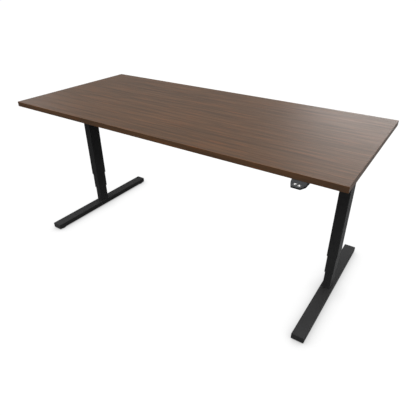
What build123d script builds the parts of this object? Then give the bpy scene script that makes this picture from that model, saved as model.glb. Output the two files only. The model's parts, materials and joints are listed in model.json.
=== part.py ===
"""Height-adjustable standing desk on two three-stage lifting columns.

The widest tube of each column hangs from the desktop frame and the two
narrower ones telescope out of it to the foot. A solid upper spindle, turned by
a gear motor at the column's head, runs in a nut on the middle stage. Its
six-sided foot slides inside a hollow lower spindle and turns it at the same
rate, and that spindle runs in a nut on the inner stage, so both stages travel
together.

Millimetres. +X to the user's right, +Y away from the user, +Z up, floor at
Z = 0. The origin is under the middle of the whole desk, the handset included.
"""

import os
from math import acos, cos, pi, radians, sin, tan

from build123d import *

# ---------------------------------------------------------------- dimensions
# Desktop
desk_length = 1800
desk_depth = 800
desk_height = 805
top_thickness = 25
band_thickness = 2
edge_radius = 1
desk_corner_radius = 1.5

# Lifting columns: an outer, a middle and an inner tube
leg_inset = 87
column_width = 50
column_depth = 75
tube_wall = 1.5
stage_gap = 1.5
tube_corner = 4
stage_out = 100
least_out = 5
travel_up = 225
end_gap = 5

# Sliding pads between the tubes
glide_clearance = 0.3
glide_length = 40
glide_window = 14
glide_band = 8
glide_corner = 2.5

# Feet
foot_length = 796
foot_width = 60
foot_height = 30
foot_wall = 2
foot_corner = 3
cap_thickness = 4
cap_edge = 1.5
cap_plug = 12
cap_fit = 0.1
pad_diameter = 54
pad_height = 4.8
pad_gap = 0.2
pad_inset = 32
pad_chamfer = 1.6
stem_diameter = 8
stem_length = 20
stem_chamfer = 1
weld_nut_diameter = 16
weld_nut_height = 8
weld_plate = 6
foot_bolt_diameter = 8
foot_bolt_spacing_x = 18
foot_bolt_spacing_y = 40
foot_bolt_head_height = 8
foot_bolt_access = 17

# Spindle drive
thread_diameter = 12
thread_clearance = 0.08
journal_diameter = 10
drive_hex = 14.8
hex_clearance = 0.1
drive_hex_length = 20
hollow_diameter = 22
hollow_journal = 20
running_fit = 0.04
spindle_over_run = 5
shaft_clearance = 1
head_bearing_outside = 26
head_bearing_width = 8
carrier_bearing_outside = 32
carrier_bearing_width = 7
bearing_race = 2
bearing_shield = 0.6
bearing_skirt = 5
nut_body = 24
nut_flange = 34
nut_flange_height = 4
nut_length = 24
lip_height = 3
lower_nut_length = 25

# Gear pair
gear_module = 1.5
wheel_teeth = 45
pinion_teeth = 15
pressure_angle = 20
tooth_backlash = 0.12
tooth_root_ratio = 1.25
gear_width = 9
hub_diameter = 20
gear_side_gap = 0.4
flat_depth = 1
wheel_hole_count = 6
wheel_hole_diameter = 10
wheel_hole_circle = 40

# Gear case and motor at each column's head
case_floor = 4
case_height = 22.5
case_wall = 3
case_corner = 12
case_clearance = 2.5
case_bolt_land = 8
cover_thickness = 2.5
spigot_height = 12
spigot_fit = 0.2
bearing_shoulder = 3
motor_diameter = 38
motor_length = 88
motor_can_diameter = 35
motor_gearbox_length = 30
motor_shaft_diameter = 8
motor_shaft_depth = 12
motor_groove_depth = 0.8
motor_groove_width = 2.4
motor_bell_length = 12
motor_bell_step = 1
motor_bell_taper = 8

# Desktop frame
bracket_thickness = 3
bracket_length = 640
arm_width = 60
arm_flange = 20
arm_tip_flange = 7
arm_corner = 10
plate_length = 156
rail_height = 40
rail_width = 20
rail_wall = 1.5
rail_gap = 4
rail_over_run = 34
rail_bolt_pitch = 22
rail_bolt_inset = 12
frame_bolt_diameter = 6
frame_bolt_head_height = 5.4
bolt_head_ratio = 1.6
bolt_key_ratio = 0.9
bolt_key_depth_ratio = 0.6

# Screws into the desktop
screw_diameter = 4
screw_head = 9
screw_head_height = 2.6
screw_head_taper = 20
screw_cross_width = 1
screw_cross_length = 4.5
screw_cross_depth = 1.3
screw_depth = 17
arm_screw_inset = 22
arm_screw_pitch = 130

# Control box under the desktop
box_length = 240
box_depth = 100
box_height = 36
box_wall = 2.5
box_corner = 8
box_y = 205
lug_width = 22
lug_reach = 14
lug_corner = 5.5
socket_block = 18
socket_depth = 14
socket_width = 13
socket_height = 9
socket_pitch = 24
inlet_width = 25
inlet_height = 17
vent_count = 9
vent_width = 3
vent_length = 44
vent_pitch = 9

# Handset at the front edge
handset_inset = 172
handset_width = 58.5
handset_front_width = 36
handset_overhang = 32.5
handset_taper_length = 25.5
handset_depth = 82
handset_drop = 17.6
handset_brow = 8.2
handset_lip_drop = 10.8
handset_corner = 5
face_thickness = 2.4
button_width = 14.5
button_length = 14
button_pitch = 16.7
button_offset = 2.4
button_radius = 2.5
button_stands = 0.9
button_travel = 1.2
button_gap = 0.1
button_edge = 0.5
button_post_diameter = 6
button_post = 3
button_clearance = 0.3
button_rim = 1.6
button_rim_thickness = 1.2
shell_wall = 2.4

# ------------------------------------------------- derived heights and places
middle_y = handset_overhang / 2
leg_spacing = desk_length - 2 * leg_inset
handset_x = desk_length / 2 - handset_inset
desk_front = middle_y - desk_depth / 2
underside = desk_height - top_thickness

foot_bottom = pad_height + pad_gap
foot_top = foot_bottom + foot_height
middle_bottom = foot_top + stage_out
outer_bottom = middle_bottom + stage_out
travel_down = stage_out - least_out

bracket_bottom = underside - bracket_thickness
cover_bottom = bracket_bottom - cover_thickness
case_bottom = cover_bottom - case_height
case_floor_top = case_bottom + case_floor
spigot_bottom = case_bottom - spigot_height

carrier_top = spigot_bottom - travel_down - end_gap
middle_top = carrier_top - lip_height
nut_seat = carrier_top - nut_flange_height
carrier_web = carrier_top - nut_length
carrier_bearing_top = carrier_web - bearing_shoulder
carrier_bearing_bottom = carrier_bearing_top - carrier_bearing_width
carrier_bottom = carrier_bearing_bottom - bearing_skirt

lower_nut_top = carrier_bottom - travel_down - end_gap
inner_top = lower_nut_top - lip_height
lower_nut_bottom = lower_nut_top - lower_nut_length

hollow_top = carrier_bearing_top - gear_side_gap
hollow_bottom = lower_nut_bottom - travel_up - spindle_over_run
hex_top = hollow_top - travel_up - spindle_over_run
hex_bottom = hex_top - drive_hex_length
head_bearing_top = case_bottom + case_floor - bearing_shoulder
head_bearing_bottom = head_bearing_top - head_bearing_width
gear_bottom = case_floor_top + gear_side_gap
gear_top = cover_bottom - gear_side_gap
tooth_bottom = gear_top - gear_width

gear_centres = gear_module * (wheel_teeth + pinion_teeth) / 2
wheel_room = gear_module * (wheel_teeth / 2 + 1) + case_clearance
pinion_room = gear_module * (pinion_teeth / 2 + 1) + case_clearance
case_outer = wheel_room + case_wall + case_bolt_land / 2
case_inner = gear_centres + pinion_room + case_wall + case_bolt_land / 2
case_half_depth = wheel_room + case_wall
case_centre = (case_inner - case_outer) / 2
case_bolts_x = case_outer + case_inner - 2 * case_bolt_land
case_bolts_y = 2 * case_half_depth - 1.5 * case_bolt_land

rail_y = case_half_depth + rail_gap + rail_width / 2
rail_bottom = bracket_bottom - rail_height

columns = (
    ("left", Plane(origin=(-leg_spacing / 2, middle_y, 0)), 1),
    ("right", Plane(origin=(leg_spacing / 2, middle_y, 0)), -1),
)

os.makedirs("parts", exist_ok=True)


# ------------------------------------------------------------------- helpers
def save(piece, name):
    """Name a finished piece and write its STEP file."""
    piece.part.label = name
    export_step(piece.part, f"parts/{name}.step")


def stage_outline(stage, grow=0.0, mode=Mode.ADD):
    """Outline of a column tube: stage 0 is the outer, 1 the middle, 2 the inner tube."""
    step = 2 * stage * (tube_wall + stage_gap)
    width = column_width - step + 2 * grow
    depth = column_depth - step + 2 * grow
    RectangleRounded(width, depth, tube_corner + grow, mode=mode)


def involute(angle):
    """Involute function of an angle in radians."""
    return tan(angle) - angle


def gear_points(teeth, turned):
    """Corner points of a straight-toothed gear whose first tooth points turned degrees from +X."""
    pitch_radius = gear_module * teeth / 2
    base_radius = pitch_radius * cos(radians(pressure_angle))
    tip_radius = pitch_radius + gear_module
    root_radius = pitch_radius - tooth_root_ratio * gear_module
    half_tooth = pi / (2 * teeth) - tooth_backlash / (2 * pitch_radius)
    flank_start = max(base_radius, root_radius)
    points = []
    for tooth in range(teeth):
        middle = radians(turned) + 2 * pi * tooth / teeth
        flank = []
        for radius in (flank_start, pitch_radius, tip_radius):
            rolled = involute(acos(base_radius / radius))
            half = half_tooth + involute(radians(pressure_angle)) - rolled
            flank.append((radius, half))
        flank.insert(0, (root_radius, flank[0][1]))
        for radius, half in flank:
            points.append((radius * cos(middle - half), radius * sin(middle - half)))
        for radius, half in reversed(flank):
            points.append((radius * cos(middle + half), radius * sin(middle + half)))
    return points


def socket_bolt(plane, places, diameter, length, head_height):
    """Socket-head bolts that point along the plane's normal, their heads below it."""
    with BuildSketch(plane) as shanks:
        with Locations(*places):
            Circle(diameter / 2)
    extrude(shanks.sketch, amount=length)
    with BuildSketch(plane) as heads:
        with Locations(*places):
            Circle(bolt_head_ratio * diameter / 2)
    extrude(heads.sketch, amount=-head_height)
    with BuildSketch(plane.offset(-head_height)) as keys:
        with Locations(*places):
            RegularPolygon(bolt_key_ratio * diameter / 2, 6)
    extrude(keys.sketch, amount=bolt_key_depth_ratio * head_height, mode=Mode.SUBTRACT)


# ------------------------------------------------------------------- desktop
def arm_screw_places():
    """Screw places along a side bracket's two arms, measured from the column."""
    last = bracket_length / 2 - arm_screw_inset
    return [(0, end * y) for end in (-1, 1) for y in (last, last - arm_screw_pitch)]


def box_lug_places():
    """Screw places in the four lugs of the control box."""
    x = box_length / 2 - lug_width
    y = box_depth / 2 + lug_reach / 2
    return [(dx, box_y + dy) for dx in (-x, x) for dy in (-y, y)]


def handset_screw_places():
    """Screw places in the handset's mounting flange."""
    y = desk_front + handset_depth - handset_overhang - lug_reach / 2
    return [(handset_x + dx, y) for dx in (-handset_width / 4, handset_width / 4)]


def pilot_holes(plane, places):
    """Cut blind pilot holes up from a plane."""
    with BuildSketch(plane) as holes:
        with Locations(*places):
            Circle(screw_diameter / 2)
    extrude(holes.sketch, amount=screw_depth, mode=Mode.SUBTRACT)


desk_plane = Plane(origin=(0, middle_y, underside))
with BuildPart() as desktop_board:
    with BuildSketch(desk_plane):
        Rectangle(desk_length - 2 * band_thickness, desk_depth - 2 * band_thickness)
    extrude(amount=top_thickness)
    for name, column, inward in columns:
        pilot_holes(column.offset(underside), arm_screw_places())
    pilot_holes(Plane.XY.offset(underside), box_lug_places() + handset_screw_places())
save(desktop_board, "desktop_board")

band_reach = desk_depth - band_thickness
with BuildPart() as long_edge_bands:
    with BuildSketch(desk_plane):
        with GridLocations(0, band_reach, 1, 2):
            Rectangle(desk_length, band_thickness)
    extrude(amount=top_thickness)
    corners = long_edge_bands.edges().filter_by(Axis.Z)
    for end in (0, -1):
        fillet(corners.group_by(Axis.Y)[end], desk_corner_radius)
    for end in (0, -1):
        face = long_edge_bands.faces().sort_by(Axis.Y)[end]
        fillet(face.edges().filter_by(Axis.X), edge_radius)
save(long_edge_bands, "long_edge_bands")

with BuildPart() as short_edge_bands:
    with BuildSketch(desk_plane):
        with GridLocations(desk_length - band_thickness, 0, 2, 1):
            Rectangle(band_thickness, desk_depth - 2 * band_thickness)
    extrude(amount=top_thickness)
    for end in (0, -1):
        face = short_edge_bands.faces().sort_by(Axis.X)[end]
        fillet(face.edges().filter_by(Axis.Y), edge_radius)
save(short_edge_bands, "short_edge_bands")


# ------------------------------------------------------------- desktop frame
def case_bolt_places(inward):
    """Bolt places at a gear case's four corners, measured from the column."""
    centre = inward * case_centre
    half_x, half_y = case_bolts_x / 2, case_bolts_y / 2
    return [(centre + dx, dy) for dx in (-half_x, half_x) for dy in (-half_y, half_y)]


def rail_bolt_places(inward):
    """Bolt places where the two rails cross a side bracket, measured from the column."""
    outer = rail_bolt_inset - rail_over_run
    return [
        (inward * (outer + step), side * rail_y)
        for step in (0, rail_bolt_pitch)
        for side in (-1, 1)
    ]


def side_bracket(name, column, inward):
    """Pressed steel arm that carries the desktop front and back, with a plate for the column."""
    plate_width = case_outer + case_inner
    with BuildPart() as bracket:
        with BuildSketch(column.offset(bracket_bottom)):
            RectangleRounded(arm_width, bracket_length, arm_corner)
            with Locations((inward * case_centre, 0)):
                RectangleRounded(plate_width, plate_length, case_corner)
        extrude(amount=bracket_thickness)
        flange_start = plate_length / 2 + case_corner
        flange_end = bracket_length / 2 - arm_corner
        side_plane = Plane(
            origin=column.origin + Vector(-arm_width / 2, 0, 0), x_dir=(0, 1, 0), z_dir=(1, 0, 0)
        )
        for edge in (0, arm_width - bracket_thickness):
            with BuildSketch(side_plane.offset(edge)):
                for end in (-1, 1):
                    Polygon(
                        (end * flange_start, bracket_bottom),
                        (end * flange_start, bracket_bottom - arm_flange),
                        (end * (flange_start + arm_flange), bracket_bottom - arm_flange),
                        (end * flange_end, bracket_bottom - arm_tip_flange),
                        (end * flange_end, bracket_bottom),
                        align=None,
                    )
            extrude(amount=bracket_thickness)
        with BuildSketch(column.offset(bracket_bottom)):
            with Locations(*arm_screw_places()):
                Circle(screw_diameter / 2)
            with Locations(*case_bolt_places(inward)):
                Circle(frame_bolt_diameter / 2)
            with Locations(*rail_bolt_places(inward)):
                Circle(frame_bolt_diameter / 2)
        extrude(amount=bracket_thickness, mode=Mode.SUBTRACT)
    save(bracket, f"{name}_side_bracket")


for name, column, inward in columns:
    side_bracket(name, column, inward)

rail_length = leg_spacing + 2 * rail_over_run
for rail_name, side in (("front_rail", -1), ("rear_rail", 1)):
    rail_end = Plane(
        origin=(-rail_length / 2, middle_y + side * rail_y, rail_bottom + rail_height / 2),
        x_dir=(0, 1, 0),
        z_dir=(1, 0, 0),
    )
    with BuildPart() as rail:
        with BuildSketch(rail_end):
            RectangleRounded(rail_width, rail_height, 2 * rail_wall)
            RectangleRounded(
                rail_width - 2 * rail_wall,
                rail_height - 2 * rail_wall,
                rail_wall,
                mode=Mode.SUBTRACT,
            )
        extrude(amount=rail_length)
        for name, column, inward in columns:
            with BuildSketch(column.offset(rail_bottom)):
                with Locations(*rail_bolt_places(inward)):
                    Circle(frame_bolt_diameter / 2)
            extrude(amount=rail_height, mode=Mode.SUBTRACT)
    save(rail, rail_name)

with BuildPart() as frame_bolts:
    for name, column, inward in columns:
        rail_places = rail_bolt_places(inward)
        case_places = case_bolt_places(inward)
        socket_bolt(
            column.offset(rail_bottom),
            rail_places,
            frame_bolt_diameter,
            rail_height + bracket_thickness,
            frame_bolt_head_height,
        )
        socket_bolt(
            column.offset(case_bottom),
            case_places,
            frame_bolt_diameter,
            underside - case_bottom,
            frame_bolt_head_height,
        )
save(frame_bolts, "frame_bolts")


def pan_screws(plane, places):
    """Pan-head wood screws driven up through a sheet whose lower face is the plane."""
    with BuildSketch(plane) as shanks:
        with Locations(*places):
            Circle(screw_diameter / 2)
    extrude(shanks.sketch, amount=bracket_thickness + screw_depth)
    with BuildSketch(plane) as heads:
        with Locations(*places):
            Circle(screw_head / 2)
    extrude(heads.sketch, amount=-screw_head_height, taper=screw_head_taper)
    with BuildSketch(plane.offset(-screw_head_height)) as crosses:
        with Locations(*places):
            Rectangle(screw_cross_length, screw_cross_width)
            Rectangle(screw_cross_width, screw_cross_length)
    extrude(crosses.sketch, amount=screw_cross_depth, mode=Mode.SUBTRACT)


with BuildPart() as desktop_screws:
    for name, column, inward in columns:
        pan_screws(column.offset(bracket_bottom), arm_screw_places())
    screwed = box_lug_places() + handset_screw_places()
    pan_screws(Plane.XY.offset(bracket_bottom), screwed)
save(desktop_screws, "desktop_screws")


# ------------------------------------------------- gear case, gears and motor
def gear_room(inward):
    """Outline of the hollow that holds the wheel and the pinion."""
    with BuildSketch(mode=Mode.PRIVATE) as room:
        with BuildLine():
            CenterArc((0, 0), wheel_room, 0, 360)
            CenterArc((inward * gear_centres, 0), pinion_room, 0, 360)
        make_hull()
    return room.sketch


def gear_case(name, column, inward):
    """Die-cast case: it seats on the column, holds the head bearing and carries the motor."""
    with BuildPart() as case:
        with BuildSketch(column.offset(case_bottom)):
            with Locations((inward * case_centre, 0)):
                RectangleRounded(case_outer + case_inner, 2 * case_half_depth, case_corner)
        extrude(amount=case_height)
        with BuildSketch(column.offset(case_floor_top)):
            add(gear_room(inward))
        extrude(amount=case_height, mode=Mode.SUBTRACT)
        with BuildSketch(column.offset(spigot_bottom)):
            stage_outline(0, -tube_wall - spigot_fit)
        extrude(amount=spigot_height)
        with BuildSketch(column.offset(spigot_bottom)):
            Circle(head_bearing_outside / 2)
        extrude(amount=head_bearing_top - spigot_bottom, mode=Mode.SUBTRACT)
        with BuildSketch(column.offset(head_bearing_top)):
            Circle(journal_diameter / 2 + shaft_clearance)
            with Locations((inward * gear_centres, 0)):
                Circle(motor_shaft_diameter / 2 + shaft_clearance)
        extrude(amount=case_floor_top - head_bearing_top, mode=Mode.SUBTRACT)
        with BuildSketch(column.offset(case_bottom)):
            with Locations((inward * gear_centres, 0)):
                Circle(motor_shaft_diameter / 2 + shaft_clearance)
        extrude(amount=case_floor, mode=Mode.SUBTRACT)
        with BuildSketch(column.offset(case_bottom)):
            with Locations(*case_bolt_places(inward)):
                Circle(frame_bolt_diameter / 2)
        extrude(amount=case_height, mode=Mode.SUBTRACT)
    save(case, f"{name}_gear_case")


def gear_cover(name, column, inward):
    """Flat lid between the gear case and the side bracket."""
    with BuildPart() as cover:
        with BuildSketch(column.offset(cover_bottom)):
            with Locations((inward * case_centre, 0)):
                RectangleRounded(case_outer + case_inner, 2 * case_half_depth, case_corner)
            with Locations(*case_bolt_places(inward)):
                Circle(frame_bolt_diameter / 2, mode=Mode.SUBTRACT)
        extrude(amount=cover_thickness)
    save(cover, f"{name}_gear_cover")


def journal_outline():
    """D-shaped outline that the gear and the upper spindle share."""
    Circle(journal_diameter / 2)
    with Locations((0, journal_diameter / 2)):
        Rectangle(journal_diameter, 2 * flat_depth, mode=Mode.SUBTRACT)


def spindle_gear(name, column, inward):
    """Wheel on the upper spindle's D-shaped end, one tooth pointing at the pinion."""
    first_tooth = 0 if inward > 0 else 180
    with BuildPart() as gear:
        with BuildSketch(column.offset(tooth_bottom)):
            Polygon(*gear_points(wheel_teeth, first_tooth), align=None)
        extrude(amount=gear_width)
        with BuildSketch(column.offset(gear_bottom)):
            Circle(hub_diameter / 2)
        extrude(amount=tooth_bottom - gear_bottom)
        with BuildSketch(column.offset(tooth_bottom)):
            with PolarLocations(wheel_hole_circle / 2, wheel_hole_count):
                Circle(wheel_hole_diameter / 2)
        extrude(amount=gear_width, mode=Mode.SUBTRACT)
        with BuildSketch(column.offset(gear_bottom)):
            journal_outline()
        extrude(amount=gear_top - gear_bottom, mode=Mode.SUBTRACT)
    save(gear, f"{name}_spindle_gear")


def motor_pinion(name, column, inward):
    """Pinion and motor shaft in one, with a tooth gap facing the wheel."""
    half_pitch = 180 / pinion_teeth
    first_tooth = (180 if inward > 0 else 0) + half_pitch
    shaft = Plane(origin=column.origin + Vector(inward * gear_centres, 0, 0))
    with BuildPart() as pinion:
        with BuildSketch(shaft.offset(tooth_bottom)):
            Polygon(*gear_points(pinion_teeth, first_tooth), align=None)
        extrude(amount=gear_width)
        with BuildSketch(shaft.offset(case_bottom - motor_shaft_depth)):
            Circle(motor_shaft_diameter / 2)
        extrude(amount=motor_shaft_depth + tooth_bottom - case_bottom)
    save(pinion, f"{name}_motor_pinion")


def motor(name, column, inward):
    """Gear motor hung from the case beside the column: gearbox ring, can and end bell."""
    shaft = Plane(origin=column.origin + Vector(inward * gear_centres, 0, 0))
    can_length = motor_length - motor_gearbox_length
    bell_top = case_bottom - motor_length + motor_bell_length
    with BuildPart() as body:
        with BuildSketch(shaft.offset(case_bottom)):
            Circle(motor_diameter / 2)
        extrude(amount=-motor_gearbox_length)
        with BuildSketch(shaft.offset(case_bottom - motor_gearbox_length)):
            Circle(motor_can_diameter / 2)
        extrude(amount=motor_bell_length - can_length)
        with BuildSketch(shaft.offset(bell_top)):
            Circle(motor_can_diameter / 2 - motor_bell_step)
        extrude(amount=-motor_bell_length, taper=motor_bell_taper)
        with BuildSketch(shaft.offset(case_bottom - motor_gearbox_length / 2)):
            Circle(motor_diameter / 2)
            Circle(motor_diameter / 2 - motor_groove_depth, mode=Mode.SUBTRACT)
        extrude(amount=motor_groove_width / 2, both=True, mode=Mode.SUBTRACT)
        with BuildSketch(shaft.offset(case_bottom)):
            Circle(motor_shaft_diameter / 2 + running_fit)
        extrude(amount=-motor_shaft_depth - gear_side_gap, mode=Mode.SUBTRACT)
    save(body, f"{name}_motor")


def ball_bearing(name, axis, top, width, outside, bore):
    """Sealed ball bearing: one ring with its shields set back between the races."""
    with BuildPart() as bearing:
        with BuildSketch(axis.offset(top - width)):
            Circle(outside / 2)
            Circle(bore / 2, mode=Mode.SUBTRACT)
        extrude(amount=width)
        for level in (top - width, top - bearing_shield):
            with BuildSketch(axis.offset(level)):
                Circle(outside / 2 - bearing_race)
                Circle(bore / 2 + bearing_race, mode=Mode.SUBTRACT)
            extrude(amount=bearing_shield, mode=Mode.SUBTRACT)
    save(bearing, name)


# ------------------------------------------------------------- column stages
def outer_tube(name, column):
    """Widest tube, hung from the gear case."""
    with BuildPart() as tube:
        with BuildSketch(column.offset(outer_bottom)):
            stage_outline(0)
            stage_outline(0, -tube_wall, mode=Mode.SUBTRACT)
        extrude(amount=case_bottom - outer_bottom)
    save(tube, f"{name}_outer_tube")


def middle_tube(name, column):
    """Middle tube, which slides inside the outer one."""
    with BuildPart() as tube:
        with BuildSketch(column.offset(middle_bottom)):
            stage_outline(1)
            stage_outline(1, -tube_wall, mode=Mode.SUBTRACT)
        extrude(amount=middle_top - middle_bottom)
    save(tube, f"{name}_middle_tube")


def foot_bolt_places():
    """Places of the bolts that hold a column to its foot, measured from the column."""
    x, y = foot_bolt_spacing_x / 2, foot_bolt_spacing_y / 2
    return [(dx, dy) for dx in (-x, x) for dy in (-y, y)]


def inner_tube(name, column):
    """Narrowest tube, with a tapped plate welded into its lower end."""
    with BuildPart() as tube:
        with BuildSketch(column.offset(foot_top)):
            stage_outline(2)
            stage_outline(2, -tube_wall, mode=Mode.SUBTRACT)
        extrude(amount=inner_top - foot_top)
        with BuildSketch(column.offset(foot_top)):
            stage_outline(2, -tube_wall)
            with Locations(*foot_bolt_places()):
                Circle(foot_bolt_diameter / 2, mode=Mode.SUBTRACT)
        extrude(amount=weld_plate)
    save(tube, f"{name}_inner_tube")


def glide_on_top(column, stage, top):
    """Pad frame around a tube's upper end, sliding in the next tube out."""
    with BuildSketch(column.offset(top - glide_length)) as frame:
        stage_outline(stage - 1, -tube_wall - glide_clearance)
        stage_outline(stage, mode=Mode.SUBTRACT)
    extrude(frame.sketch, amount=glide_length)


def glide_in_mouth(column, stage, bottom):
    """Pad frame inside a tube's lower end, in which the next tube in slides."""
    with BuildSketch(column.offset(bottom)) as frame:
        stage_outline(stage, -tube_wall)
        stage_outline(stage + 1, glide_clearance, mode=Mode.SUBTRACT)
    extrude(frame.sketch, amount=glide_length)


def glide_windows(column, bottom):
    """Cut the openings that leave each pad frame as corner pads joined by two bands."""
    across = Plane(
        origin=column.origin + Vector(0, 0, bottom + glide_length / 2),
        x_dir=(0, 1, 0),
        z_dir=(1, 0, 0),
    )
    with BuildSketch(across) as window:
        RectangleRounded(glide_window, glide_length - 2 * glide_band, glide_corner)
    extrude(window.sketch, amount=column_width, both=True, mode=Mode.SUBTRACT)


def middle_glides(name, column):
    """The middle stage's two pad frames."""
    with BuildPart() as glides:
        glide_on_top(column, 1, middle_top)
        glide_windows(column, middle_top - glide_length)
        glide_in_mouth(column, 1, middle_bottom)
        glide_windows(column, middle_bottom)
    save(glides, f"{name}_middle_glides")


def inner_glides(name, column):
    """The inner stage's pad frame."""
    with BuildPart() as glides:
        glide_on_top(column, 2, inner_top)
        glide_windows(column, inner_top - glide_length)
    save(glides, f"{name}_inner_glides")


def middle_carrier(name, column):
    """Block that closes the middle tube: nut above, lower spindle's bearing below."""
    with BuildPart() as carrier:
        with BuildSketch(column.offset(carrier_bottom)):
            stage_outline(1, -tube_wall)
        extrude(amount=middle_top - carrier_bottom)
        with BuildSketch(column.offset(middle_top)):
            stage_outline(1)
        extrude(amount=lip_height)
        for bottom, top, diameter in (
            (nut_seat, carrier_top, nut_flange),
            (carrier_web, nut_seat, nut_body),
            (carrier_bearing_top, carrier_web, thread_diameter + 2 * shaft_clearance),
            (carrier_bottom, carrier_bearing_top, carrier_bearing_outside),
        ):
            with BuildSketch(column.offset(bottom)):
                Circle(diameter / 2)
            extrude(amount=top - bottom, mode=Mode.SUBTRACT)
    save(carrier, f"{name}_middle_carrier")


def upper_nut(name, column):
    """Flanged nut in the middle carrier, on the upper spindle."""
    with BuildPart() as nut:
        with BuildSketch(column.offset(carrier_web)):
            Circle(nut_body / 2)
        extrude(amount=nut_seat - carrier_web)
        with BuildSketch(column.offset(nut_seat)):
            Circle(nut_flange / 2)
        extrude(amount=nut_flange_height)
        with BuildSketch(column.offset(carrier_web)):
            Circle(thread_diameter / 2 + thread_clearance)
        extrude(amount=nut_length, mode=Mode.SUBTRACT)
    save(nut, f"{name}_upper_nut")


def lower_nut(name, column):
    """Block nut that closes the inner tube, on the lower spindle."""
    with BuildPart() as nut:
        with BuildSketch(column.offset(lower_nut_bottom)):
            stage_outline(2, -tube_wall)
        extrude(amount=inner_top - lower_nut_bottom)
        with BuildSketch(column.offset(inner_top)):
            stage_outline(2)
        extrude(amount=lip_height)
        with BuildSketch(column.offset(lower_nut_bottom)):
            Circle(hollow_diameter / 2 + thread_clearance)
        extrude(amount=lower_nut_length, mode=Mode.SUBTRACT)
    save(nut, f"{name}_lower_nut")


def upper_spindle(name, column):
    """Solid spindle: D-shaped end in the wheel, journal in the head bearing, six-sided foot."""
    with BuildPart() as spindle:
        with BuildSketch(column.offset(hex_bottom)):
            RegularPolygon(drive_hex / 2, 6, major_radius=False)
        extrude(amount=drive_hex_length)
        with BuildSketch(column.offset(hex_top)):
            Circle(thread_diameter / 2)
        extrude(amount=head_bearing_bottom - hex_top)
        with BuildSketch(column.offset(head_bearing_bottom)):
            Circle(journal_diameter / 2)
        extrude(amount=gear_bottom - head_bearing_bottom)
        with BuildSketch(column.offset(gear_bottom)):
            journal_outline()
        extrude(amount=gear_top - gear_bottom)
    save(spindle, f"{name}_upper_spindle")


def lower_spindle(name, column):
    """Hollow spindle with a six-sided bore, held by its journal in the carrier bearing."""
    with BuildPart() as spindle:
        with BuildSketch(column.offset(hollow_bottom)):
            Circle(hollow_diameter / 2)
        extrude(amount=carrier_bearing_bottom - hollow_bottom)
        with BuildSketch(column.offset(carrier_bearing_bottom)):
            Circle(hollow_journal / 2)
        extrude(amount=hollow_top - carrier_bearing_bottom)
        with BuildSketch(column.offset(hollow_bottom)):
            RegularPolygon(drive_hex / 2 + hex_clearance, 6, major_radius=False)
        extrude(amount=hollow_top - hollow_bottom, mode=Mode.SUBTRACT)
    save(spindle, f"{name}_lower_spindle")


# ---------------------------------------------------------------------- feet
def leveller_places():
    """Places of a foot's two levelling feet, measured from the column."""
    y = foot_length / 2 - pad_inset
    return {"front": (0, -y), "rear": (0, y)}


def foot_beam(name, column):
    """Rectangular tube with bolt holes, access holes and two weld nuts."""
    length = foot_length - 2 * cap_thickness
    end = Plane(
        origin=column.origin + Vector(0, -length / 2, foot_bottom + foot_height / 2),
        x_dir=(1, 0, 0),
        z_dir=(0, 1, 0),
    )
    with BuildPart() as beam:
        with BuildSketch(end):
            RectangleRounded(foot_width, foot_height, foot_corner)
            RectangleRounded(
                foot_width - 2 * foot_wall,
                foot_height - 2 * foot_wall,
                foot_corner - foot_wall,
                mode=Mode.SUBTRACT,
            )
        extrude(amount=length)
        with BuildSketch(column.offset(foot_bottom + foot_wall)):
            with Locations(*leveller_places().values()):
                Circle(weld_nut_diameter / 2)
        extrude(amount=weld_nut_height)
        with BuildSketch(column.offset(foot_bottom)):
            with Locations(*leveller_places().values()):
                Circle(stem_diameter / 2 + running_fit)
        extrude(amount=foot_wall + weld_nut_height, mode=Mode.SUBTRACT)
        with BuildSketch(column.offset(foot_bottom)):
            with Locations(*foot_bolt_places()):
                Circle(foot_bolt_access / 2)
        extrude(amount=foot_wall, mode=Mode.SUBTRACT)
        with BuildSketch(column.offset(foot_top)):
            with Locations(*foot_bolt_places()):
                Circle(foot_bolt_diameter / 2)
        extrude(amount=-foot_wall, mode=Mode.SUBTRACT)
    save(beam, f"{name}_foot_beam")


def foot_end_caps(name, column):
    """Moulded caps pushed into both ends of a foot beam."""
    inner_width = foot_width - 2 * (foot_wall + cap_fit)
    inner_height = foot_height - 2 * (foot_wall + cap_fit)
    middle = column.origin + Vector(0, 0, foot_bottom + foot_height / 2)
    with BuildPart() as caps:
        for end in (-1, 1):
            face = Plane(
                origin=middle + Vector(0, end * (foot_length / 2 - cap_thickness), 0),
                x_dir=(1, 0, 0),
                z_dir=(0, end, 0),
            )
            with BuildSketch(face):
                RectangleRounded(foot_width, foot_height, foot_corner)
            extrude(amount=cap_thickness)
            with BuildSketch(face):
                RectangleRounded(inner_width, inner_height, foot_corner - foot_wall)
                Rectangle(
                    inner_width - 2 * foot_wall,
                    inner_height - 2 * foot_wall,
                    mode=Mode.SUBTRACT,
                )
            extrude(amount=-cap_plug)
        for end in (0, -1):
            outer_face = caps.faces().filter_by(Axis.Y).sort_by(Axis.Y)[end]
            fillet(outer_face.edges(), cap_edge)
    save(caps, f"{name}_foot_end_caps")


def foot_bolts(name, column):
    """Bolts from inside the foot beam up into the inner tube's plate."""
    with BuildPart() as bolts:
        socket_bolt(
            column.offset(foot_top - foot_wall),
            foot_bolt_places(),
            foot_bolt_diameter,
            foot_wall + weld_plate,
            foot_bolt_head_height,
        )
    save(bolts, f"{name}_foot_bolts")


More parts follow.
